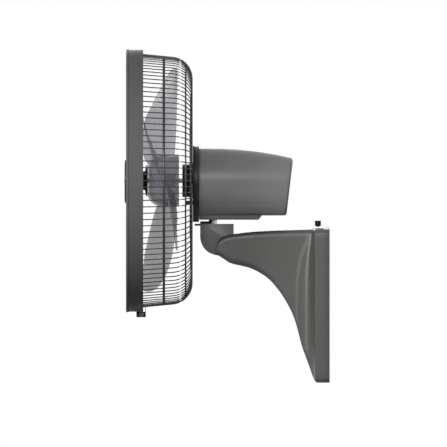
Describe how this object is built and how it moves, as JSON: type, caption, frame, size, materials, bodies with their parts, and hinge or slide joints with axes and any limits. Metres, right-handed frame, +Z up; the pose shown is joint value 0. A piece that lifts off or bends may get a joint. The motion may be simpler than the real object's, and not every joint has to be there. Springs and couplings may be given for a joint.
{
  "type": "wall mounted fan",
  "caption": "Wall fan on a curved bracket arm with push buttons, tilting neck, swinging motor head, wire guard with a deep rim, and translucent blades.",
  "frame": {"origin": "centre of the wall screw pattern, on the wall", "axes": "+Z up, -Y out from the wall towards the front of the fan, +X to the side"},
  "size_m": [0.4476, 0.3495, 0.5673],
  "materials": {
    "bracket_grey": "fine satin",
    "housing_grey": "satin",
    "neck_grey": "satin",
    "wire_grey": "satin powder coat",
    "ring_grey": "gloss",
    "cover_black": "satin",
    "black_plastic": "gloss",
    "badge_dark": "gloss",
    "blade_smoke": "clear smoke",
    "button_grey": "matte",
    "panel_dark": "matte",
    "zinc_steel": "zinc plated",
    "chrome": "polished",
    "dark_steel": "blackened",
    "lamination": "bare",
    "cast_alloy": "as cast",
    "bronze": "oiled",
    "copper_wire": "varnished",
    "board_green": "matte",
    "red_window": "gloss",
    "ivory_plastic": "matte",
    "rubber_black": "matte"
  },
  "bodies": {
    "bracket": {"wall_plate": "zinc_steel", "arm_frame": "zinc_steel", "bracket_shell": "bracket_grey", "shell_screws": "zinc_steel", "lock_nut": "zinc_steel", "tilt_pin": "zinc_steel", "tilt_washers": "zinc_steel", "control_panel": "panel_dark", "control_board": "board_green", "board_switches": "black_plastic", "receiver_window": "red_window", "indicator_lenses": "red_window", "terminal_block": "ivory_plastic", "cord_grommet": "rubber_black"},
    "lock_knob": {"lock_knob": "black_plastic"},
    "power_button": {"power_button": "button_grey"},
    "speed_button": {"speed_button": "button_grey"},
    "swing_button": {"swing_button": "button_grey"},
    "timer_button": {"timer_button": "button_grey"},
    "neck": {"neck_housing": "neck_grey", "tilt_clamp_screw": "chrome", "pivot_post": "chrome", "thrust_washer": "bronze", "pivot_set_screw": "dark_steel", "link_stud": "zinc_steel", "pivot_clip": "dark_steel"},
    "head": {"swing_plate": "neck_grey", "pivot_bushes": "bronze", "swing_motor": "cast_alloy", "tray_screws": "dark_steel", "front_cover": "cover_black", "cover_screws": "zinc_steel", "motor_housing": "housing_grey", "front_bell": "cast_alloy", "rear_bell": "cast_alloy", "tie_bolts": "zinc_steel", "stator_core": "lamination", "windings": "copper_wire", "bearings": "chrome", "capacitor": "ivory_plastic", "guard_plate": "wire_grey", "rear_side_wires": "wire_grey", "rear_back_wires": "wire_grey", "rear_rings": "wire_grey", "front_wires": "wire_grey", "front_rings": "wire_grey", "front_plate": "wire_grey", "guard_ring": "ring_grey", "ring_clip": "black_plastic", "ring_screw": "zinc_steel", "guard_catch": "wire_grey", "guard_nut": "black_plastic", "badge": "badge_dark"},
    "crank": {"crank": "cast_alloy"},
    "link": {"drive_link": "zinc_steel"},
    "rotor": {"motor_shaft": "zinc_steel", "rotor_core": "lamination", "drive_pin": "zinc_steel", "fan_blade": "blade_smoke", "blade_nut": "black_plastic"}
  },
  "joints": [
    {"name": "tilt", "type": "hinge", "parent": "bracket", "child": "neck", "pos_m": [0, -0.174, 0.1031], "axis": [1, 0, 0], "range_deg": [-10, 20]},
    {"name": "oscillation", "type": "hinge", "parent": "neck", "child": "head", "pos_m": [0, -0.1985, 0.1465], "axis": [0, 0, 1], "range_deg": [-40, 40]},
    {"name": "fan_spin", "type": "hinge", "parent": "head", "child": "rotor", "pos_m": [0, -0.27, 0.2125], "axis": [0, 1, 0], "continuous": true},
    {"name": "crank_turn", "type": "hinge", "parent": "head", "child": "crank", "pos_m": [0.005, -0.14, 0.153], "axis": [0, 0, 1], "range_deg": [-90, 90]},
    {"name": "link_turn", "type": "hinge", "parent": "crank", "child": "link", "pos_m": [0.014, -0.14, 0.151], "axis": [0, 0, 1], "range_deg": [-90, 90]},
    {"name": "lock_knob_turn", "type": "hinge", "parent": "bracket", "child": "lock_knob", "pos_m": [0, -0.02, 0.135], "axis": [0, 0, 1], "continuous": true},
    {"name": "power_button_press", "type": "slide", "parent": "bracket", "child": "power_button", "axis": [0, 0.9404, 0.3401], "range_m": [0, 0.0008], "stiffness_N_per_m": 400, "springref_m": -0.0012},
    {"name": "speed_button_press", "type": "slide", "parent": "bracket", "child": "speed_button", "axis": [0, 0.9404, 0.3401], "range_m": [0, 0.0008], "stiffness_N_per_m": 400, "springref_m": -0.0012},
    {"name": "swing_button_press", "type": "slide", "parent": "bracket", "child": "swing_button", "axis": [0, 0.9404, 0.3401], "range_m": [0, 0.0008], "stiffness_N_per_m": 400, "springref_m": -0.0012},
    {"name": "timer_button_press", "type": "slide", "parent": "bracket", "child": "timer_button", "axis": [0, 0.9404, 0.3401], "range_m": [0, 0.0008], "stiffness_N_per_m": 400, "springref_m": -0.0012}
  ],
  "couplings": [
    {"joint": "crank_turn", "follows": "oscillation", "ratio": -2.25},
    {"joint": "link_turn", "follows": "oscillation", "ratio": 2.25}
  ]
}
